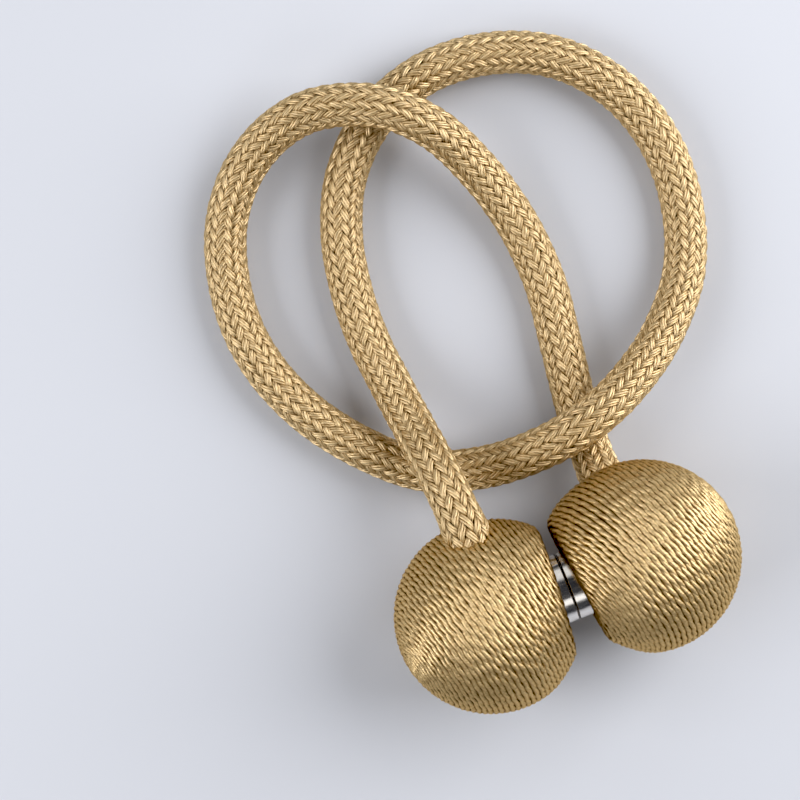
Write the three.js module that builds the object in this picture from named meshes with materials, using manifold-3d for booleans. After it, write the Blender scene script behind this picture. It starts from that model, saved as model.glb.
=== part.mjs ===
// Magnetic curtain tieback: one braided cord with a thread-wound ball at each end.
// A steel-cased magnet disc is set in the flat of each ball, and the two discs hold the balls together.
// The closed tieback lies on a table, its cord looped over and under itself three times.
// Millimetres, +Z up. The clasp runs along X, and the origin is under it, on the table.

import * as THREE from 'three';
import { mergeVertices } from 'three/addons/utils/BufferGeometryUtils.js';
import Module from 'manifold-3d';

const wasm = await Module();
wasm.setup();

// Driving dimensions
const BALL_RADIUS = 20;
const FLAT_DISTANCE = 14.8; // from the ball's centre to the flat that holds the magnet
const RIM_ROUNDING = 3; // the wound edge round the flat
const FOOT_RADIUS = 4; // the small flat that a ball rests on
const MAGNET_RADIUS = 7.2;
const MAGNET_CHAMFER = 0.45;
const MAGNET_PROUD = 2; // how far a disc stands out of its flat
const MAGNET_SUNK = 1.8; // how deep it is seated
const CORD_RADIUS = 4.4;
const CORD_SIDES = 12;
const CORD_STEPS = 76;
const SOCKET_RADIUS = 4.8; // the mouth that a cord end is glued into
const GAP = 0.3; // between pieces that meet
const LATHE_SEGMENTS = 48;

// Worked out from them
const BALL_HEIGHT = Math.sqrt(BALL_RADIUS ** 2 - FOOT_RADIUS ** 2);
const BALL_OFFSET = FLAT_DISTANCE + MAGNET_PROUD + GAP / 2;

// The cord's centre line from the left ball to the right one: round the right-hand loop, then round
// the left-hand one. It crosses itself three times, passing over and under in turn, and over first.
const CORD_ROUTE = [
  [-15.3, 13.6, 26.9],
  [-15.4, 20.5, 26.3],
  [-15.8, 27.5, 23.9],
  [-16.5, 34.5, 19.2],
  [-17.5, 42.5, 12.2],
  [-18.6, 51.5, 7.2],
  [-19.6, 62.0, 4.9],
  [-19.2, 73.5, 4.5],
  [-16.6, 86.0, 4.5],
  [-10.8, 97.5, 4.5],
  [-0.8, 106.5, 4.5],
  [12.5, 111.0, 4.5],
  [26.5, 110.0, 4.5],
  [39.5, 104.0, 4.5],
  [49.0, 93.0, 4.5],
  [53.5, 79.5, 4.5],
  [53.0, 65.0, 4.5],
  [48.0, 51.5, 5.4],
  [38.5, 41.0, 8.8],
  [27.5, 34.0, 13.0],
  [16.5, 29.8, 15.0],
  [5.0, 28.0, 12.6],
  [-7.0, 28.6, 8.0],
  [-19.0, 32.6, 5.0],
  [-29.5, 42.0, 4.5],
  [-38.0, 54.0, 4.5],
  [-43.0, 68.0, 4.5],
  [-43.2, 82.5, 4.5],
  [-38.5, 97.0, 5.1],
  [-28.5, 107.5, 7.6],
  [-15.0, 111.5, 11.6],
  [-1.0, 107.5, 13.9],
  [8.8, 99.0, 12.4],
  [15.0, 87.5, 8.2],
  [18.8, 74.5, 5.2],
  [19.8, 60.5, 4.5],
  [18.2, 47.0, 4.5],
  [16.5, 34.5, 4.7],
  [15.6, 23.6, 7.0],
  [15.4, 13.2, 13.4],
];

const GOLD_CORD = { color: 0xb5965c, roughness: 0.62, metalness: 0 };
const GOLD_THREAD = { color: 0xb8945a, roughness: 0.5, metalness: 0 };
const NICKEL = { color: 0xc4c2bd, roughness: 0.22, metalness: 1 };

// Points along an arc in a lathe profile, with the angles in radians.
function arc(centreX, centreY, radius, from, to, steps) {
  const points = [];
  for (let step = 0; step <= steps; step += 1) {
    const angle = from + ((to - from) * step) / steps;
    const x = centreX + radius * Math.cos(angle);
    points.push(new THREE.Vector2(Math.max(x, 0), centreY + radius * Math.sin(angle)));
  }
  return points;
}

// A geometry as a solid that can be cut, its shared vertices merged and its empty triangles left out.
function solidOf(geometry) {
  const bare = geometry.index ? geometry.toNonIndexed() : geometry.clone();
  bare.deleteAttribute('normal');
  bare.deleteAttribute('uv');
  const merged = mergeVertices(bare, 1e-4);
  const corners = merged.index.array;
  const triangles = [];
  for (let i = 0; i < corners.length; i += 3) {
    const [a, b, c] = [corners[i], corners[i + 1], corners[i + 2]];
    if (a !== b && b !== c && c !== a) {
      triangles.push(a, b, c);
    }
  }
  const mesh = new wasm.Mesh({
    numProp: 3,
    vertProperties: new Float32Array(merged.attributes.position.array),
    triVerts: new Uint32Array(triangles),
  });
  return new wasm.Manifold(mesh);
}

function geometryOf(solid) {
  const mesh = solid.getMesh();
  const geometry = new THREE.BufferGeometry();
  geometry.setAttribute('position', new THREE.BufferAttribute(mesh.vertProperties, 3));
  geometry.setIndex(new THREE.BufferAttribute(mesh.triVerts, 1));
  return geometry;
}

// A profile turned about X, +X being the side of the clasp.
function turnedAboutX(profile) {
  return new THREE.LatheGeometry(profile, LATHE_SEGMENTS).rotateZ(-Math.PI / 2);
}

// A cylinder of the given radius between two points.
function rod(start, end, radius) {
  const along = new THREE.Vector3().subVectors(end, start);
  const turn = new THREE.Quaternion().setFromUnitVectors(
    new THREE.Vector3(0, 1, 0),
    along.clone().normalize(),
  );
  const middle = start.clone().addScaledVector(along, 0.5);
  return new THREE.CylinderGeometry(radius, radius, along.length(), 32)
    .applyQuaternion(turn)
    .translate(middle.x, middle.y, middle.z);
}

// The outer form of a wound ball: a sphere with one flat, its edge rounded.
function ballForm() {
  const rimHeight = FLAT_DISTANCE - RIM_ROUNDING;
  const rimRadius = Math.sqrt((BALL_RADIUS - RIM_ROUNDING) ** 2 - rimHeight ** 2);
  const rimAngle = Math.atan2(rimHeight, rimRadius);
  return turnedAboutX([
    ...arc(0, 0, BALL_RADIUS, -Math.PI / 2, rimAngle, 20),
    ...arc(rimRadius, rimHeight, RIM_ROUNDING, rimAngle, Math.PI / 2, 5).slice(1),
    new THREE.Vector2(0, FLAT_DISTANCE),
  ]);
}

// One ball in its own frame: its centre at the origin and its flat towards +X. cordEnd is the
// last point of the cord inside the ball, and cordNext the point that it heads for.
function woundBall(cordEnd, cordNext) {
  const outward = cordNext.clone().sub(cordEnd).normalize();
  const socketFloor = cordEnd.clone().addScaledVector(outward, -GAP);
  const beyondMouth = cordEnd.clone().addScaledVector(outward, BALL_RADIUS);
  const socket = rod(socketFloor, beyondMouth, SOCKET_RADIUS);

  const seatFloor = new THREE.Vector3(FLAT_DISTANCE - MAGNET_SUNK - GAP, 0, 0);
  const pastFlat = new THREE.Vector3(FLAT_DISTANCE + MAGNET_PROUD, 0, 0);
  const seat = rod(seatFloor, pastFlat, MAGNET_RADIUS + GAP);

  const size = 2 * BALL_RADIUS;
  const belowFoot = new THREE.BoxGeometry(size, size, size).translate(0, 0, -BALL_HEIGHT - size / 2);

  return geometryOf(
    solidOf(ballForm())
      .subtract(solidOf(belowFoot))
      .subtract(solidOf(seat))
      .subtract(solidOf(socket)),
  );
}

// A magnet disc in the same frame as its ball, with chamfered edges.
function magnetDisc() {
  const back = FLAT_DISTANCE - MAGNET_SUNK;
  const front = FLAT_DISTANCE + MAGNET_PROUD;
  return turnedAboutX([
    new THREE.Vector2(0, back),
    new THREE.Vector2(MAGNET_RADIUS - MAGNET_CHAMFER, back),
    new THREE.Vector2(MAGNET_RADIUS, back + MAGNET_CHAMFER),
    new THREE.Vector2(MAGNET_RADIUS, front - MAGNET_CHAMFER),
    new THREE.Vector2(MAGNET_RADIUS - MAGNET_CHAMFER, front),
    new THREE.Vector2(0, front),
  ]);
}

function cord(route) {
  const section = new THREE.Shape();
  for (let side = 0; side < CORD_SIDES; side += 1) {
    const angle = (2 * Math.PI * side) / CORD_SIDES;
    const x = CORD_RADIUS * Math.cos(angle);
    const y = CORD_RADIUS * Math.sin(angle);
    if (side === 0) {
      section.moveTo(x, y);
    } else {
      section.lineTo(x, y);
    }
  }
  section.closePath();
  const extrudePath = new THREE.CatmullRomCurve3(route, false, 'catmullrom', 0.5);
  return new THREE.ExtrudeGeometry(section, { steps: CORD_STEPS, bevelEnabled: false, extrudePath });
}

function named(name, geometry, finish) {
  const mesh = new THREE.Mesh(geometry, new THREE.MeshStandardMaterial(finish));
  mesh.name = name;
  return mesh;
}

// One end of the tieback: a group for the ball's own frame, holding the ball and its magnet.
function tiebackEnd(side, offset, turn, cordEnd, cordNext) {
  const end = new THREE.Group();
  end.position.set(offset, 0, BALL_HEIGHT);
  end.rotation.z = turn;
  end.updateMatrixWorld();
  const ball = woundBall(end.worldToLocal(cordEnd.clone()), end.worldToLocal(cordNext.clone()));
  end.add(named(`${side}_ball`, ball, GOLD_THREAD));
  end.add(named(`${side}_magnet`, magnetDisc(), NICKEL));
  return end;
}

const route = CORD_ROUTE.map(([x, y, z]) => new THREE.Vector3(x, y, z));
const tieback = new THREE.Group();
tieback.add(tiebackEnd('left', -BALL_OFFSET, 0, route.at(0), route.at(1)));
tieback.add(tiebackEnd('right', BALL_OFFSET, Math.PI, route.at(-1), route.at(-2)));
tieback.add(named('rope', cord(route), GOLD_CORD));

export default tieback;
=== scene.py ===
import math

import bpy
import numpy as np
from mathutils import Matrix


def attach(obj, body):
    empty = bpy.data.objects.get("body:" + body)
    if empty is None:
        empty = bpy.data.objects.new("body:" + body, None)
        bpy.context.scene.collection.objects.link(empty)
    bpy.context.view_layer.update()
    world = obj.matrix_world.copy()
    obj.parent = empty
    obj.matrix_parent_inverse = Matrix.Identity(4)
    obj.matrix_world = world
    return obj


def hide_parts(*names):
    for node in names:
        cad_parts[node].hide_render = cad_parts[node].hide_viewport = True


# Magnetic curtain tieback: one braided cord with a thread-wound ball at each end, the two balls
# held together by plated magnet discs. Lengths are in millimetres and become metres in a mesh.
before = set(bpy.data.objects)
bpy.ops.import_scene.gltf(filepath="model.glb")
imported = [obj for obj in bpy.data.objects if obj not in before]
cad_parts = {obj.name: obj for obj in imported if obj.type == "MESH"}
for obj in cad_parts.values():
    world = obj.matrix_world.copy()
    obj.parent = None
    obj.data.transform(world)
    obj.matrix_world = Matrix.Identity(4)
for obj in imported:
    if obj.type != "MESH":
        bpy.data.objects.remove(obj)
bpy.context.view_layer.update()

MM = 0.001
rng = np.random.default_rng(4173)

# Ball, flat and disc, as on the solids
BALL_RADIUS = 20.0
FLAT_DISTANCE = 14.8  # from the ball's centre to the flat that holds the magnet
RIM_ROUNDING = 3.0
FOOT_RADIUS = 4.0
MAGNET_RADIUS = 7.2
MAGNET_PROUD = 2.0
MAGNET_SUNK = 1.8
GAP = 0.3
BALL_HEIGHT = math.sqrt(BALL_RADIUS**2 - FOOT_RADIUS**2)
BALL_OFFSET = FLAT_DISTANCE + MAGNET_PROUD + 0.5 * GAP
MAGNET_BACK = FLAT_DISTANCE - MAGNET_SUNK
MAGNET_FRONT = FLAT_DISTANCE + MAGNET_PROUD

# The disc's turned case
CASE_EDGE = 0.18  # the rounding of its edges
CASE_EDGE_POINTS = 6
CASE_SEGMENTS = 128

# The cord's centre line from the left ball to the right one, over itself first
CORD_ROUTE = np.array([
    (-15.3, 13.6, 26.9), (-15.4, 20.5, 26.3), (-15.8, 27.5, 23.9), (-16.5, 34.5, 19.2),
    (-17.5, 42.5, 12.2), (-18.6, 51.5, 7.2), (-19.6, 62.0, 4.9), (-19.2, 73.5, 4.5),
    (-16.6, 86.0, 4.5), (-10.8, 97.5, 4.5), (-0.8, 106.5, 4.5), (12.5, 111.0, 4.5),
    (26.5, 110.0, 4.5), (39.5, 104.0, 4.5), (49.0, 93.0, 4.5), (53.5, 79.5, 4.5),
    (53.0, 65.0, 4.5), (48.0, 51.5, 5.4), (38.5, 41.0, 8.8), (27.5, 34.0, 13.0),
    (16.5, 29.8, 15.0), (5.0, 28.0, 12.6), (-7.0, 28.6, 8.0), (-19.0, 32.6, 5.0),
    (-29.5, 42.0, 4.5), (-38.0, 54.0, 4.5), (-43.0, 68.0, 4.5), (-43.2, 82.5, 4.5),
    (-38.5, 97.0, 5.1), (-28.5, 107.5, 7.6), (-15.0, 111.5, 11.6), (-1.0, 107.5, 13.9),
    (8.8, 99.0, 12.4), (15.0, 87.5, 8.2), (18.8, 74.5, 5.2), (19.8, 60.5, 4.5),
    (18.2, 47.0, 4.5), (16.5, 34.5, 4.7), (15.6, 23.6, 7.0), (15.4, 13.2, 13.4),
])
CORD_DIAMETER = 8.8
CORD_END_IN_BALL = 5.1  # the length of each end that is glued in
FLARE_AT_MOUTH = 0.36  # how far the braid opens where it enters a ball
FLARE_LENGTH = 3.2

# The braid: flat bundles of yarn ends side by side, over two and under two
BUNDLES_EACH_WAY = 16
BRAID_TURN = 45.0  # the length in which a bundle goes round once
BRAID_PROUD = 0.20  # how far its crowns stand out of the cord's radius
BRAID_LOWEST = 0.02  # above the table
BUNDLE_SWING = 0.38  # outwards where it runs over, and inwards where it runs under
BUNDLE_CROWN = 0.85  # how steeply it falls away to its sides
OVER_SHARPNESS = 1.9  # how quickly it changes from under to over
ENDS_IN_BUNDLE = 3
END_SPACING = 0.44
END_WIDTH = 0.65
END_HEIGHT = 0.36
END_ABOVE_CENTRE = 0.65  # the share of its height
END_ACROSS = np.array([-1.0, 1.0, 0.58, -0.58])  # its section: a flat foot and a narrower top
END_UP = np.array([-0.4, -0.4, 0.6, 0.6])
RINGS_PER_WAVE = 9
FILLING_RADIUS = 3.45
FILLING_SIDES = 16
FILLING_RINGS = 300

# The thread on the balls: two plies
THREAD_PITCH = 1.18
THREAD_STEP = 0.68
THREAD_SHORTEST = 2.0
MOUTH_RADIUS = 4.2  # round the cord, where the thread stops
PLY_RADIUS = 0.39
PLY_RISE = 0.17
PLY_SPREAD = 0.19
PLY_SIDES = 6
PLY_LAY = 7.0
PLY_WIDTH = 1.12  # its width for its thickness, where the plies lie side by side
PLY_WIDER = 0.40  # added where one lies on the other
THREAD_DEPTH = PLY_RADIUS + PLY_RISE
WINDING_START = 0.02
WINDING_STOP = math.pi - math.radians(14)
WINDING_POINTS = 180  # in each turn
LEAN_FROM = 3.0  # how far from the ball's centre the flat's side begins to lean

# The coil that the thread ends in, on the flat
COIL_INNER = MAGNET_RADIUS + 0.8
COIL_OUTER = 10.5
COIL_POINTS = 90  # in each turn
COIL_PHASE = 0.4

# The glued ball under the thread, its dark tone painted shade for the gaps between the turns
BODY_DEPTH = 0.9
BODY_LOWEST = 0.05  # above the table
BODY_RINGS = 60
BODY_SEGMENTS = 96
BODY_RIM = math.radians(29)  # where its outer form ends, just outside the disc's seat

# Steps that give each strand its own streaks, and each thread its own phase
BUNDLE_APART = 7.3
END_APART = 1.9
HANDS_APART = 150
PLIES_APART = 11.0
THREADS_APART = 3.7
PHASES_APART = 1.7

# Painted shade of the yarn, kept in its height attribute: 1 on the crowns, 0 in the crevices
BRAID_SHADE = 0.14
BRAID_BY_WAVE = 0.86
BRAID_BY_SIDE = 0.24
BRAID_EDGE_SHADE = 1.2
THREAD_SHADE = 0.44
THREAD_BY_LIFT = 0.9
THREAD_BY_SIDE = 0.6
THREAD_EDGE_SHADE = 0.22
THREAD_FLANK_SHADE = 0.20
FLAT_SHADE = 0.45  # the deeper shade of the clasp's gap
FLAT_SHADE_FROM = 0.82  # how much of the normal points along the clasp where it begins
FLAT_SHADE_OVER = 0.15

# Slow wanders, each as its wavelength and its amount
BUNDLE_DRIFT = (11.0, 0.015)
BUNDLE_WAVER = (4.0, 0.010)
END_DRIFT = (6.0, 0.04)
END_RISE = (5.0, 0.035)
END_SWELL = (5.0, 0.05)
LAY_DRIFT = (40.0, 0.5)
THREAD_DRIFT = (25.0, 0.05)
PLY_SWELL = (13.0, 0.015)
WANDER_STRETCHES = (1.0, 0.57, 0.31)
WANDER_SPREAD = 1.7  # about how far three such waves add up

# The camera looks straight down on the tieback
CAMERA_PLACE = (-18.05, 48.21, 450.0)
CAMERA_TURN = math.radians(-21.4)
CAMERA_LENS = 94.16
BLACK_LEVEL = 0.02

# Table and studio
TABLE_HALF = 9000.0
TABLE_COLOUR = (0.602, 0.626, 0.688, 1)
FAR_COLOUR = (0.66, 0.68, 0.74, 1)
FADE_START = 0.3  # metres from the clasp, as is the end
FADE_END = 0.9
STUDIO_COLOUR = (0.0504, 0.0528, 0.06, 1)
PANEL_COLOUR = (1.0, 0.99, 0.98)
PANEL_DISTANCE = 0.7  # in metres

# The dyed yarn, in the cord and on the balls, and the colour painted into its crevices as shade
PAINTED_SHADE_GOLD = (0.10, 0.04, 0.005, 1)
SHEEN_GOLD = (0.84, 0.66, 0.42, 1)
SHEEN_SHARE = 0.95


def unit(vectors):
    return vectors / np.linalg.norm(vectors, axis=-1, keepdims=True)


def around(count):
    """Angles spread evenly round a full turn."""
    return 2 * np.pi * np.arange(count) / count


def circle(angles):
    return np.column_stack([np.cos(angles), np.sin(angles)])


def along(line):
    """The length along a line at each of its points."""
    return np.concatenate([[0.0], np.cumsum(np.linalg.norm(np.diff(line, axis=0), axis=1))])


def smooth_line(points, per_span=40):
    """The smooth curve through the points of a route, its ends mirrored."""
    held = np.vstack([2 * points[0] - points[1], points, 2 * points[-1] - points[-2]])
    t = np.linspace(0, 1, per_span, endpoint=False)[:, None]
    spans = []
    for a, b, c, d in zip(held, held[1:], held[2:], held[3:]):
        slope = c - a
        bend = 2 * a - 5 * b + 4 * c - d
        twist = 3 * b - a - 3 * c + d
        spans.append(0.5 * (2 * b + slope * t + bend * t**2 + twist * t**3))
    return np.vstack([*spans, points[-1:]])


def read_along(lengths, values, at):
    """Rows of values read at the lengths given."""
    return np.column_stack([np.interp(at, lengths, column) for column in values.T])


def wander(at, wavelength, amount):
    """A slow seeded wander of about the amount given, along the lengths given."""
    total = np.zeros(len(at))
    for stretch in WANDER_STRETCHES:
        total += np.sin(2 * np.pi * (at / (wavelength * stretch) + rng.random()))
    return amount * total / WANDER_SPREAD


def kept_above(height, places):
    """The places, with any that dip below a height raised to it."""
    return np.maximum(places, [-np.inf, -np.inf, height])


class Line:
    """A route with a frame carried along it without twist."""

    def __init__(self, points, up):
        self.points = points
        self.lengths = along(points)
        self.length = self.lengths[-1]
        self.tangents = unit(np.gradient(points, axis=0))
        ups = [np.asarray(up, float)]
        for tangent in self.tangents:
            carried = ups[-1] - tangent * (ups[-1] @ tangent)
            ups.append(carried / np.linalg.norm(carried))
        self.ups = np.array(ups[1:])

    def at(self, lengths):
        """Points, tangents, ups and sides at the lengths given."""
        points = read_along(self.lengths, self.points, lengths)
        tangents = unit(read_along(self.lengths, self.tangents, lengths))
        ups = unit(read_along(self.lengths, self.ups, lengths))
        return points, tangents, ups, np.cross(ups, tangents)


class Bands:
    """Closed bands of yarn gathered into one mesh, with the fibre places and the painted shade that the
    yarn's material reads.
    """

    def __init__(self):
        self.places = []
        self.fibres = []
        self.heights = []
        self.faces = []
        self.count = 0

    def add(self, centres, tangents, lifts, section, fibres, heights):
        """section has (across, up) for each point of each ring, anticlockwise seen along the band's end."""
        sides = unit(np.cross(lifts, tangents))
        places = centres[:, None] + section[..., :1] * sides[:, None] + section[..., 1:] * lifts[:, None]
        rings, points = section.shape[:2]
        index = self.count + np.arange(rings * points).reshape(rings, points)
        following = np.roll(index, -1, axis=1)
        quads = np.stack([index[:-1], following[:-1], following[1:], index[1:]], axis=-1)
        self.faces += quads.reshape(-1, 4).tolist()
        self.faces += [index[0, ::-1].tolist(), index[-1].tolist()]
        self.places.append(places.reshape(-1, 3))
        self.fibres.append(fibres.reshape(-1, 3))
        self.heights.append(heights.reshape(-1))
        self.count += rings * points

    def piece(self, name, places, material):
        """The bands as one object, at the places given."""
        made = piece_of(name, places, self.faces, material)
        fibre = made.data.attributes.new("fibre", "FLOAT_VECTOR", "POINT")
        fibre.data.foreach_set("vector", np.vstack(self.fibres).astype(np.float32).ravel())
        # The height attribute holds the yarn's painted shade: 1 on the crowns, 0 in the crevices
        height = made.data.attributes.new("height", "FLOAT", "POINT")
        height.data.foreach_set("value", np.concatenate(self.heights).astype(np.float32))
        return made


def fibre_rows(across, lengths, strand):
    """Each point's place across its yarn, its length along it, and a number that sets the yarn apart."""
    shape = (len(lengths), len(across))
    return np.stack([
        np.broadcast_to(across, shape),
        np.broadcast_to(lengths[:, None], shape),
        np.full(shape, strand),
    ], axis=-1)


def piece_of(name, places, faces, material):
    """A smooth-shaded mesh object, from places in millimetres."""
    mesh = bpy.data.meshes.new(name)
    mesh.from_pydata((np.asarray(places) * MM).tolist(), [], faces)
    mesh.shade_smooth()
    mesh.materials.append(material)
    made = bpy.data.objects.new(name, mesh)
    bpy.context.scene.collection.objects.link(made)
    return made


def turned(profile, segments):
    """Places and faces of a profile of (axial, radial) points turned about X, both ends on the axis."""
    ring = circle(around(segments))
    rows = [np.column_stack([np.full(segments, x), r * ring]) for x, r in profile[1:-1]]
    places = np.vstack([[(profile[0][0], 0, 0)], *rows, [(profile[-1][0], 0, 0)]])
    index = 1 + np.arange(len(rows) * segments).reshape(len(rows), segments)
    following = np.roll(index, -1, axis=1)
    quads = np.stack([index[:-1], index[1:], following[1:], following[:-1]], axis=-1)
    last = len(places) - 1
    faces = quads.reshape(-1, 4).tolist()
    faces += [[0, a, b] for a, b in zip(index[0].tolist(), following[0].tolist())]
    faces += [[last, b, a] for a, b in zip(index[-1].tolist(), following[-1].tolist())]
    return places, faces


def fill(tree, made, inputs):
    """Gives a node's inputs their values, or links them where a socket is given."""
    for name, value in inputs.items():
        if isinstance(value, bpy.types.NodeSocket):
            tree.links.new(value, made.inputs[name])
        else:
            made.inputs[name].default_value = value


def node(tree, kind, inputs=None, **settings):
    """A shader node with its settings and its inputs."""
    made = tree.nodes.new(kind)
    for name, value in settings.items():
        setattr(made, name, value)
    fill(tree, made, inputs or {})
    return made


def maths(tree, operation, first, second, clamp=False):
    made = node(tree, "ShaderNodeMath", {0: first, 1: second}, operation=operation, use_clamp=clamp)
    return made.outputs[0]


def mixed(tree, factor, first, second):
    """A mix of two colours. 6 and 7 are the Mix node's colour inputs, and 2 its colour output."""
    inputs = {"Factor": factor, 6: first, 7: second}
    return node(tree, "ShaderNodeMix", inputs, data_type="RGBA").outputs[2]


def ramp(tree, value, start, end, **settings):
    """A value as 0 up to the start, 1 from the end on, and rising between them."""
    inputs = {"Value": value, "From Min": start, "From Max": end}
    return node(tree, "ShaderNodeMapRange", inputs, **settings).outputs["Result"]


def relief(tree, height, depth):
    """The normal of a relief, its depth in millimetres."""
    inputs = {"Height": height, "Strength": 1.0, "Distance": depth * MM}
    return node(tree, "ShaderNodeBump", inputs).outputs["Normal"]


def object_place(tree):
    return node(tree, "ShaderNodeTexCoord").outputs["Object"]


def camera_sees(tree):
    return node(tree, "ShaderNodeLightPath").outputs["Is Camera Ray"]


def new_group(name, inputs, outputs):
    """A shader node group with the sockets given, and its two end nodes."""
    tree = bpy.data.node_groups.new(name, "ShaderNodeTree")
    for socket, (kind, value) in inputs.items():
        made = tree.interface.new_socket(socket, in_out="INPUT", socket_type=kind)
        if value is not None:
            made.default_value = value
    for socket, kind in outputs.items():
        tree.interface.new_socket(socket, in_out="OUTPUT", socket_type=kind)
    return tree, tree.nodes.new("NodeGroupInput").outputs, tree.nodes.new("NodeGroupOutput").inputs


def filament_group():
    """Fine filaments along a yarn, as a mask of bright and dark streaks."""
    tree, given, out = new_group(
        "Filament streaks",
        {
            "Fibre": ("NodeSocketVector", None),
            "Filaments": ("NodeSocketFloat", 8.0),
            "Slant": ("NodeSocketFloat", 0.0),
            "Streaks per mm": ("NodeSocketFloat", 0.5),
        },
        {"Streak": "NodeSocketFloat"},
    )
    parts = node(tree, "ShaderNodeSeparateXYZ", {0: given["Fibre"]}).outputs
    shift = maths(tree, "MULTIPLY", parts["Y"], given["Slant"])
    across = maths(tree, "MULTIPLY", maths(tree, "ADD", parts["X"], shift), given["Filaments"])
    along_yarn = maths(tree, "MULTIPLY", parts["Y"], given["Streaks per mm"])
    place = node(tree, "ShaderNodeCombineXYZ", {"X": across, "Y": along_yarn, "Z": parts["Z"]})
    noise = node(
        tree, "ShaderNodeTexNoise",
        {"Vector": place.outputs[0], "Scale": 1.0, "Detail": 2.0, "Roughness": 0.6},
    )
    tree.links.new(ramp(tree, noise.outputs["Fac"], start=0.3, end=0.7), out["Streak"])
    return tree


def yarn_tone_and_shade_group():
    """The yarn's colour: painted shade in the crevices, clear on the crowns, with streaks and a slow drift.
    """
    tree, given, out = new_group(
        "Yarn tone and painted shade",
        {
            "Painted shade": ("NodeSocketColor", (0.2, 0.1, 0.03, 1)),
            "Clear": ("NodeSocketColor", (0.6, 0.4, 0.2, 1)),
            "Height": ("NodeSocketFloat", 0.5),
            "Streak": ("NodeSocketFloat", 0.5),
            "Streak share": ("NodeSocketFloat", 0.3),
            "Drift": ("NodeSocketFloat", 0.1),
        },
        {"Color": "NodeSocketColor", "Crown": "NodeSocketFloat"},
    )
    clouds = node(tree, "ShaderNodeTexNoise", {"Vector": object_place(tree), "Scale": 160.0, "Detail": 2.0})
    drift = maths(tree, "SUBTRACT", clouds.outputs["Fac"], 0.5)
    drift = maths(tree, "MULTIPLY", drift, given["Drift"])
    streak = maths(tree, "SUBTRACT", given["Streak"], 0.5)
    streak = maths(tree, "MULTIPLY", streak, given["Streak share"])
    # The painted shade, with the streaks and the drift, sets the mix of the colours and the crown
    total = maths(tree, "ADD", maths(tree, "ADD", given["Height"], streak), drift, clamp=True)
    tree.links.new(mixed(tree, total, given["Painted shade"], given["Clear"]), out["Color"])
    tree.links.new(maths(tree, "MULTIPLY", total, total), out["Crown"])
    return tree


def grain_group():
    """A fine grain, drawn out along one axis of the piece, as a mask."""
    tree, given, out = new_group(
        "Drawn-out grain",
        {"Stretch": ("NodeSocketVector", (1, 1, 1)), "Scale": ("NodeSocketFloat", 1000.0)},
        {"Grain": "NodeSocketFloat"},
    )
    place = {0: object_place(tree), 1: given["Stretch"]}
    drawn = node(tree, "ShaderNodeVectorMath", place, operation="MULTIPLY").outputs[0]
    noise = node(
        tree, "ShaderNodeTexNoise",
        {"Vector": drawn, "Scale": given["Scale"], "Detail": 3.0, "Roughness": 0.6},
    )
    tree.links.new(ramp(tree, noise.outputs["Fac"], start=0.32, end=0.68), out["Grain"])
    return tree


FILAMENTS = filament_group()
YARN_TONE_AND_SHADE = yarn_tone_and_shade_group()
GRAIN = grain_group()


def new_material(name):
    """A material with its own Principled BSDF, and the tree to build on."""
    made = bpy.data.materials.new(name)
    made.use_nodes = True
    tree = made.node_tree
    return made, tree, tree.nodes["Principled BSDF"]


def group_node(tree, group, inputs):
    return node(tree, "ShaderNodeGroup", inputs, node_tree=group).outputs


def yarn_material(name, clear, share, filaments, slant, per_mm, roughness, metallic, bump):
    """Silky yarn. share is how far its streaks change its tone, and per_mm how many there are."""
    made, tree, shader = new_material(name)
    fibre = node(tree, "ShaderNodeAttribute", attribute_name="fibre").outputs["Vector"]
    height = node(tree, "ShaderNodeAttribute", attribute_name="height").outputs["Fac"]
    streak = group_node(tree, FILAMENTS, {
        "Fibre": fibre, "Filaments": filaments, "Slant": slant, "Streaks per mm": per_mm,
    })["Streak"]
    tone = group_node(tree, YARN_TONE_AND_SHADE, {
        "Painted shade": PAINTED_SHADE_GOLD, "Clear": clear, "Height": height,
        "Streak": streak, "Streak share": share, "Drift": 0.12,
    })
    facing = node(tree, "ShaderNodeLayerWeight", {"Blend": 0.5}).outputs["Facing"]
    turned_to_view = maths(tree, "POWER", maths(tree, "SUBTRACT", 1.0, facing), 2.0)
    coat = maths(tree, "MULTIPLY", maths(tree, "MULTIPLY", tone["Crown"], turned_to_view), SHEEN_SHARE)
    fill(tree, shader, {
        "Base Color": tone["Color"],
        "Normal": relief(tree, streak, bump),
        "Roughness": roughness,
        "Metallic": metallic,
        "Coat Weight": coat,
        "Coat Roughness": 0.36,
        "Coat IOR": 1.8,
        "Specular Tint": SHEEN_GOLD,
    })
    return made


def grained_material(name, dark, light, stretch, scale, roughness, metallic, bump):
    """Two tones and two roughnesses, mixed by a drawn-out grain that also shows in the relief."""
    made, tree, shader = new_material(name)
    grain = group_node(tree, GRAIN, {"Stretch": stretch, "Scale": scale})["Grain"]
    rough = node(
        tree, "ShaderNodeMapRange",
        {"Value": grain, "To Min": roughness[0], "To Max": roughness[1]},
    )
    fill(tree, shader, {
        "Base Color": mixed(tree, grain, dark, light),
        "Normal": relief(tree, grain, bump),
        "Roughness": rough.outputs["Result"],
        "Metallic": metallic,
    })
    return made


def table_material():
    """A plain pale table. Past the lamps' reach it shows as pale as under them, and lights nothing."""
    made, tree, shader = new_material("Pale table")
    place = {0: object_place(tree)}
    away = node(tree, "ShaderNodeVectorMath", place, operation="LENGTH").outputs["Value"]
    past = ramp(tree, away, FADE_START, FADE_END, interpolation_type="SMOOTHSTEP")
    share = maths(tree, "MULTIPLY", past, camera_sees(tree))
    fill(tree, shader, {
        "Base Color": TABLE_COLOUR,
        "Roughness": 0.6,
        "Emission Color": mixed(tree, share, (0, 0, 0, 1), FAR_COLOUR),
        "Emission Strength": 1.0,
    })
    return made


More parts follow.
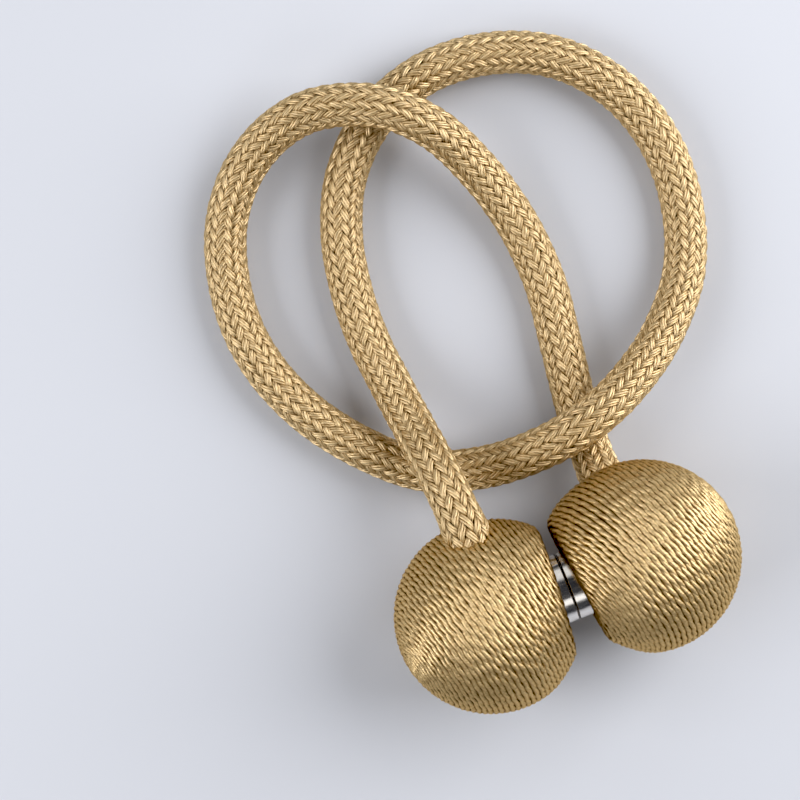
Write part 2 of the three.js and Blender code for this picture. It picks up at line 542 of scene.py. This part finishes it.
CORD_YARN = yarn_material(
    "Gold cord yarn", clear=(0.745, 0.56, 0.30, 1), share=0.55,
    filaments=3.2, slant=0.8, per_mm=0.6, roughness=0.44, metallic=0.82, bump=0.04,
)
WOUND_THREAD = yarn_material(
    "Gold wound thread", clear=(0.73, 0.538, 0.266, 1), share=0.8,
    filaments=3.6, slant=0.35, per_mm=2.3, roughness=0.41, metallic=0.88, bump=0.04,
)
# Dark, as painted shade where it shows between the bundles
SHADED_INSIDE_YARN = grained_material(
    "Yarn inside the cord, in painted shade", dark=(0.05, 0.024, 0.006, 1), light=(0.16, 0.085, 0.026, 1),
    stretch=(1, 1, 1), scale=1500.0, roughness=(0.7, 0.85), metallic=0.0, bump=0.05,
)
# Dark, as painted shade where it shows between the thread's turns
SHADED_BALL_BODY = grained_material(
    "Glued ball under the thread, in painted shade", dark=(0.07, 0.034, 0.007, 1), light=(0.19, 0.105, 0.028, 1),
    stretch=(1, 1, 1), scale=1200.0, roughness=(0.55, 0.8), metallic=0.0, bump=0.05,
)
NICKEL = grained_material(
    "Nickel plate", dark=(0.74, 0.70, 0.65, 1), light=(0.88, 0.86, 0.82, 1),
    stretch=(0.12, 1, 1), scale=2400.0, roughness=(0.13, 0.27), metallic=1.0, bump=0.0015,
)


def add_camera():
    lens = bpy.data.cameras.new("camera")
    lens.sensor_width = 36.0
    lens.lens = CAMERA_LENS
    lens.clip_start = 0.01
    made = bpy.data.objects.new("camera", lens)
    made.location = [c * MM for c in CAMERA_PLACE]
    made.rotation_euler = (0, 0, CAMERA_TURN)
    bpy.context.scene.collection.objects.link(made)
    bpy.context.scene.camera = made


def add_light(name, heading, slope, across, deep, radiance):
    """A soft panel above the table, turned to the middle of the picture. The heading is measured from
    the clasp's axis, the slope from straight up, both in degrees, and the sizes are in metres."""
    shape = bpy.data.lights.new(name, "AREA")
    shape.shape = "RECTANGLE"
    shape.size = deep
    shape.size_y = across
    shape.energy = radiance * math.pi * across * deep
    shape.color = PANEL_COLOUR
    made = bpy.data.objects.new(name, shape)
    heading = math.radians(heading)
    slope = math.radians(slope)
    reach = PANEL_DISTANCE * math.sin(slope)
    made.location = (
        CAMERA_PLACE[0] * MM + reach * math.cos(heading),
        CAMERA_PLACE[1] * MM + reach * math.sin(heading),
        PANEL_DISTANCE * math.cos(slope),
    )
    made.rotation_euler = (0, slope, heading)
    bpy.context.scene.collection.objects.link(made)


def add_surroundings():
    """The dark studio that the yarn reflects, its four panels and the table. The camera alone sees a
    pale backdrop."""
    world = bpy.data.worlds.new("studio")
    world.use_nodes = True
    tree = world.node_tree
    fill(tree, tree.nodes["Background"], {
        "Color": mixed(tree, camera_sees(tree), STUDIO_COLOUR, FAR_COLOUR),
        "Strength": 1.0,
    })
    bpy.context.scene.world = world
    view = bpy.context.scene.view_settings
    view.view_transform = "Standard"
    view.use_curve_mapping = True
    view.curve_mapping.black_level = (BLACK_LEVEL, BLACK_LEVEL, BLACK_LEVEL)

    add_light("right panel", heading=1, slope=60, across=0.64, deep=0.90, radiance=4.4)
    add_light("left panel", heading=174, slope=55, across=0.52, deep=0.50, radiance=4.6)
    add_light("near panel", heading=-90, slope=46, across=0.60, deep=0.24, radiance=1.3)
    add_light("far panel", heading=90, slope=50, across=1.20, deep=0.50, radiance=0.85)

    corners = [(TABLE_HALF * x, TABLE_HALF * y, 0) for x, y in ((-1, -1), (1, -1), (1, 1), (-1, 1))]
    floor = piece_of("floor", corners, [[0, 1, 2, 3]], table_material())


def add_bundle(bands, line, number, hand):
    """One bundle of yarn ends, turning with or against the braid, over two and under two."""
    step = BRAID_TURN / BUNDLES_EACH_WAY * 2 / RINGS_PER_WAVE
    at = np.linspace(0, line.length, round(line.length / step) + 1)
    angle = 2 * np.pi * (hand * at / BRAID_TURN + number / BUNDLES_EACH_WAY)
    crossings = angle * BUNDLES_EACH_WAY / np.pi
    # Turned so that a row of crossings lies on top
    top_phase = 1.5 * np.pi / BUNDLES_EACH_WAY
    turn = angle - top_phase + wander(at, *BUNDLE_DRIFT) + wander(at, *BUNDLE_WAVER)
    points, tangents, ups, sides = line.at(at)

    middle = 0.5 * CORD_DIAMETER + BRAID_PROUD - END_ABOVE_CENTRE * END_HEIGHT - BUNDLE_SWING
    from_mouth = np.minimum(at, line.length - at) - CORD_END_IN_BALL
    flare = FLARE_AT_MOUTH * np.exp(-((from_mouth / FLARE_LENGTH) ** 2))
    lean = math.atan(2 * math.pi * middle / BRAID_TURN)
    # The bundles cross at a slant, so an end beside the middle of its own meets them earlier or later
    sooner = BUNDLES_EACH_WAY * math.cos(2 * lean) / (BRAID_TURN * math.sin(lean))
    first_strand = BUNDLE_APART * number + (0 if hand > 0 else HANDS_APART)
    for end in range(ENDS_IN_BUNDLE):
        aside = END_SPACING * (end - 0.5 * (ENDS_IN_BUNDLE - 1)) + wander(at, *END_DRIFT)
        wave = hand * np.cos(0.5 * np.pi * (crossings + sooner * aside - 0.5))
        over = np.tanh(OVER_SHARPNESS * wave) / math.tanh(OVER_SHARPNESS)
        radius = middle + flare + BUNDLE_SWING * over - BUNDLE_CROWN * aside**2 + wander(at, *END_RISE)
        end_turn = turn + aside * math.cos(lean) / middle
        lifts = np.cos(end_turn)[:, None] * ups + np.sin(end_turn)[:, None] * sides
        centres = points + radius[:, None] * lifts - hand * math.sin(lean) * aside[:, None] * tangents
        ways = unit(np.gradient(centres, axis=0))
        lifts = unit(lifts - ways * (lifts * ways).sum(1)[:, None])
        lifts = unit(lifts + 2 * BUNDLE_CROWN * aside[:, None] * np.cross(lifts, ways))
        width = END_WIDTH + wander(at, *END_SWELL)
        across = 0.5 * width[:, None] * END_ACROSS
        section = np.stack([across, np.broadcast_to(END_HEIGHT * END_UP, across.shape)], axis=-1)
        fibres = fibre_rows(END_ACROSS, at, first_strand + END_APART * end)
        # Painted shade: darker where the bundle dives under, on its underside and towards its sides
        heights = BRAID_SHADE + BRAID_BY_WAVE * over[:, None] + BRAID_BY_SIDE * END_UP
        heights = np.clip(heights - BRAID_EDGE_SHADE * aside[:, None] ** 2, 0, 1)
        bands.add(centres, ways, lifts, section, fibres, heights)


def add_filling(line):
    """The yarn inside the braid, seen only between the bundles, dark as painted shade."""
    at = np.linspace(0, line.length, FILLING_RINGS)
    points, tangents, ups, _ = line.at(at)
    ring = FILLING_RADIUS * circle(around(FILLING_SIDES))
    section = np.broadcast_to(ring, (FILLING_RINGS, *ring.shape))
    blank = np.zeros((FILLING_RINGS, FILLING_SIDES, 3))
    bands = Bands()
    bands.add(points, tangents, ups, section, blank, blank[..., 0])
    return bands.piece("cord_filling", np.vstack(bands.places), SHADED_INSIDE_YARN)


def add_cord():
    """The braided cord: its bundles of each hand, round a filling."""
    line = Line(smooth_line(CORD_ROUTE), up=(0, 0, 1))
    pieces = []
    half = BUNDLES_EACH_WAY // 2
    for name, hand, first in (
        ("braid_right_turning", 1, 0), ("braid_right_turning_2", 1, half),
        ("braid_left_turning", -1, 0), ("braid_left_turning_2", -1, half),
    ):
        bands = Bands()
        for number in range(first, first + half):
            add_bundle(bands, line, number, hand)
        places = kept_above(BRAID_LOWEST, np.vstack(bands.places))
        pieces.append(bands.piece(name, places, CORD_YARN))
    filling = add_filling(line)
    for made in (*pieces, filling):
        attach(made, "root")
    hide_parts("rope")


def ball_surface(directions, depth):
    """Places and outward normals at a depth under a ball's form, in directions from its centre.
    The ball's flat faces +X."""
    rim_height = FLAT_DISTANCE - RIM_ROUNDING
    rim_radius = math.sqrt((BALL_RADIUS - RIM_ROUNDING) ** 2 - rim_height**2)
    rounding = RIM_ROUNDING - depth
    flat = FLAT_DISTANCE - depth
    axial = directions[:, 0]
    radial = np.hypot(directions[:, 1], directions[:, 2])
    spread = directions * [0, 1, 1] / np.maximum(radial, 1e-9)[:, None]
    angle = np.arctan2(radial, axial)

    reach = np.full(len(directions), BALL_RADIUS - depth)
    normals = directions.copy()
    on_rim = (angle < math.atan2(rim_radius, rim_height)) & (angle >= math.atan2(rim_radius, flat))
    towards = rim_height * axial + rim_radius * radial
    gap = towards**2 - rim_height**2 - rim_radius**2 + rounding**2
    reach = np.where(on_rim, towards + np.sqrt(np.maximum(gap, 0)), reach)
    on_flat = angle < math.atan2(rim_radius, flat)
    reach = np.where(on_flat, flat / np.maximum(axial, 1e-9), reach)
    places = directions * reach[:, None]
    rim_centre = np.array([rim_height, 0, 0]) + rim_radius * spread
    normals[on_rim] = unit(places[on_rim] - rim_centre[on_rim])
    normals[on_flat] = (1, 0, 0)
    return places, normals


def leaned(places, lean):
    """The places with the flat's side leaning, its +Y edge out and its -Y edge in."""
    share = np.clip((places[:, 0] - LEAN_FROM) / (FLAT_DISTANCE - LEAN_FROM), 0, 1)
    share = share * share * (3 - 2 * share)
    return places + np.column_stack([lean * share * places[:, 1], np.zeros((len(places), 2))])


def winding(tilt, lean_at_pole, lean_at_flat, facing):
    """The thread's line round a ball whose flat faces +X: turn after turn from the far side to the flat.
    Its axis is tilted across the table, and leans down towards the right of the picture."""
    turn_step = THREAD_PITCH / BALL_RADIUS
    count = round(WINDING_STOP / turn_step * WINDING_POINTS)
    polar = np.linspace(WINDING_START, WINDING_STOP, count)
    round_angle = 2 * np.pi * polar / turn_step
    lean = np.radians(lean_at_pole + (lean_at_flat - lean_at_pole) * polar / WINDING_STOP)
    level = np.cos(lean)
    axis = np.column_stack([level * math.cos(tilt), level * math.sin(tilt), -facing * np.sin(lean)])
    up = unit(np.array([0.0, 0.0, 1.0]) - axis * axis[:, 2:])
    side = np.cross(axis, up)
    ring = np.cos(round_angle)[:, None] * up + np.sin(round_angle)[:, None] * side
    directions = -np.cos(polar)[:, None] * axis + np.sin(polar)[:, None] * ring
    return unit(directions)


def add_thread(bands, places, normals, phase):
    """A two-ply thread along the places given, its plies turning round each other from a phase on."""
    lengths = along(places)
    if lengths[-1] < THREAD_SHORTEST:
        return
    tangents = unit(np.gradient(places, axis=0))
    lifts = unit(normals - tangents * (normals * tangents).sum(1)[:, None])
    sides = np.cross(lifts, tangents)
    lay = 2 * np.pi * lengths / PLY_LAY + wander(lengths, *LAY_DRIFT) + phase
    shift = wander(lengths, *THREAD_DRIFT)
    angles = -0.5 * np.pi + around(PLY_SIDES)
    outline = circle(angles)
    # Painted shade for the clasp's gap, on thread turned towards the other ball
    on_flat = np.clip((normals[:, :1] - FLAT_SHADE_FROM) / FLAT_SHADE_OVER, 0, 1)
    for ply in range(2):
        turn = lay + ply * np.pi
        lift_by = PLY_RISE * np.cos(turn)
        shift_by = PLY_SPREAD * np.sin(turn)
        centres = places + lift_by[:, None] * lifts + (shift_by + shift)[:, None] * sides
        thick = PLY_RADIUS + wander(lengths, *PLY_SWELL)
        widened = np.column_stack([PLY_WIDTH + PLY_WIDER * np.cos(turn) ** 2, np.ones(len(places))])
        section = thick[:, None, None] * outline * widened[:, None]
        fibres = fibre_rows(angles / np.pi, lengths, phase * THREADS_APART + ply * PLIES_APART)
        # Painted shade: lighter where a ply lies on top, darker on its underside, at the rows' edges and on
        # the flanks where the plies are stacked
        aside = 2 * (shift_by[:, None] + section[..., 0]) / THREAD_PITCH
        flank = np.cos(turn)[:, None] ** 2 * outline[:, 0] ** 2
        heights = THREAD_SHADE + THREAD_BY_LIFT * lift_by[:, None] + THREAD_BY_SIDE * outline[:, 1]
        heights -= THREAD_EDGE_SHADE * aside**2
        heights -= THREAD_FLANK_SHADE * flank
        heights = np.clip(heights - FLAT_SHADE * on_flat, 0, 1)
        bands.add(centres, tangents, lifts, section, fibres, heights)


def runs(kept):
    """The stretches of a list of flags that are true for more than three places, as slices."""
    edges = np.flatnonzero(np.diff(np.concatenate([[0], kept.astype(int), [0]])))
    return [slice(a, b) for a, b in zip(edges[::2], edges[1::2]) if b - a > 3]


def wind_ball(bands, directions, flat_lean, socket, outward):
    """The thread round a ball, left out at the cord's mouth, and the coil that it ends in on the flat."""
    places, _ = ball_surface(directions, THREAD_DEPTH)
    lengths = along(places)
    at = np.arange(0, lengths[-1], THREAD_STEP)
    places, normals = ball_surface(unit(read_along(lengths, directions, at)), THREAD_DEPTH)

    from_socket = places - socket
    ahead = from_socket @ outward
    beside = np.linalg.norm(from_socket - ahead[:, None] * outward, axis=1)
    in_mouth = (beside < MOUTH_RADIUS) & (ahead > 0)
    on_flat = normals[:, 0] > 0.999
    in_coil = on_flat & (np.hypot(places[:, 1], places[:, 2]) < COIL_OUTER)
    places = leaned(places, flat_lean)
    for number, run in enumerate(runs(~in_mouth & ~in_coil)):
        add_thread(bands, places[run], normals[run], PHASES_APART * number)

    turns = (COIL_OUTER - COIL_INNER) / THREAD_PITCH
    round_angle = np.linspace(0, 2 * np.pi * turns, round(turns * COIL_POINTS))
    radius = COIL_INNER + THREAD_PITCH * round_angle / (2 * np.pi)
    heights = np.full(len(radius), FLAT_DISTANCE - THREAD_DEPTH)
    coil = np.column_stack([heights, radius[:, None] * circle(round_angle)])
    add_thread(bands, leaned(coil, flat_lean), np.broadcast_to([1.0, 0, 0], coil.shape), COIL_PHASE)


def ball_body(flat_lean):
    """Places and faces of the glued ball under the thread, with the seat of its disc."""
    angles = np.linspace(math.pi, BODY_RIM, BODY_RINGS)
    shell, _ = ball_surface(np.column_stack([circle(angles), np.zeros(BODY_RINGS)]), BODY_DEPTH)
    seat_radius = MAGNET_RADIUS + GAP
    seat_floor = MAGNET_BACK - GAP
    profile = [(BODY_DEPTH - BALL_RADIUS, 0.0), *[(x, y) for x, y, _ in shell[1:]]]
    profile += [(FLAT_DISTANCE - BODY_DEPTH, seat_radius), (seat_floor, seat_radius), (seat_floor, 0.0)]
    places, faces = turned(profile, BODY_SEGMENTS)
    outside = slice(0, 1 + BODY_SEGMENTS * (BODY_RINGS - 1))
    places[outside] = leaned(places[outside], flat_lean)
    return places, faces


def add_ball(name, offset, facing, tilt, lean_at_pole, lean_at_flat, flat_lean, cord_end, cord_next):
    """A ball wound with thread. facing is 1 where the flat looks to +X, and -1 where it looks to -X.
    The tilt and leans of the thread's axis and the lean of the flat are in degrees."""
    flat_lean = facing * math.tan(math.radians(flat_lean))
    turn = np.array([facing, facing, 1.0])
    centre = np.array([offset, 0, BALL_HEIGHT])
    socket = (cord_end - centre) * turn
    outward = unit((cord_next - cord_end) * turn)
    directions = winding(math.radians(tilt), lean_at_pole, lean_at_flat, facing)
    bands = Bands()
    wind_ball(bands, directions, flat_lean, socket, outward)
    places = kept_above(0.0, np.vstack(bands.places) * turn + centre)
    wound = bands.piece(f"{name}_ball_thread", places, WOUND_THREAD)

    places, faces = ball_body(flat_lean)
    places = kept_above(BODY_LOWEST, places * turn + centre)
    body = piece_of(f"{name}_ball_body", places, faces, SHADED_BALL_BODY)

    for made in (wound, body):
        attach(made, "root")
    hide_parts(f"{name}_ball")


def add_magnet(name, offset, facing):
    """A magnet disc in its plated case, with rounded edges."""
    turn = np.array([facing, facing, 1.0])
    inner = MAGNET_RADIUS - CASE_EDGE
    angles = np.linspace(0, 0.5 * np.pi, CASE_EDGE_POINTS)
    edge = [(CASE_EDGE * (1 - math.cos(a)), inner + CASE_EDGE * math.sin(a)) for a in angles]
    back = [(MAGNET_BACK + inset, radius) for inset, radius in edge]
    front = [(MAGNET_FRONT - inset, radius) for inset, radius in reversed(edge)]
    profile = [(MAGNET_BACK, 0.0), *back, *front, (MAGNET_FRONT, 0.0)]
    places, faces = turned(profile, CASE_SEGMENTS)
    made = piece_of(f"{name}_magnet_case", places * turn + [offset, 0, BALL_HEIGHT], faces, NICKEL)
    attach(made, "root")
    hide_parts(f"{name}_magnet")


add_camera()
add_cord()
add_surroundings()
add_ball(
    "left", -BALL_OFFSET, facing=1, tilt=13.0, lean_at_pole=8.0, lean_at_flat=3.0, flat_lean=4.0,
    cord_end=CORD_ROUTE[0], cord_next=CORD_ROUTE[1],
)
add_ball(
    "right", BALL_OFFSET, facing=-1, tilt=18.0, lean_at_pole=8.0, lean_at_flat=10.0, flat_lean=7.0,
    cord_end=CORD_ROUTE[-1], cord_next=CORD_ROUTE[-2],
)
add_magnet("left", -BALL_OFFSET, 1)
add_magnet("right", BALL_OFFSET, -1)
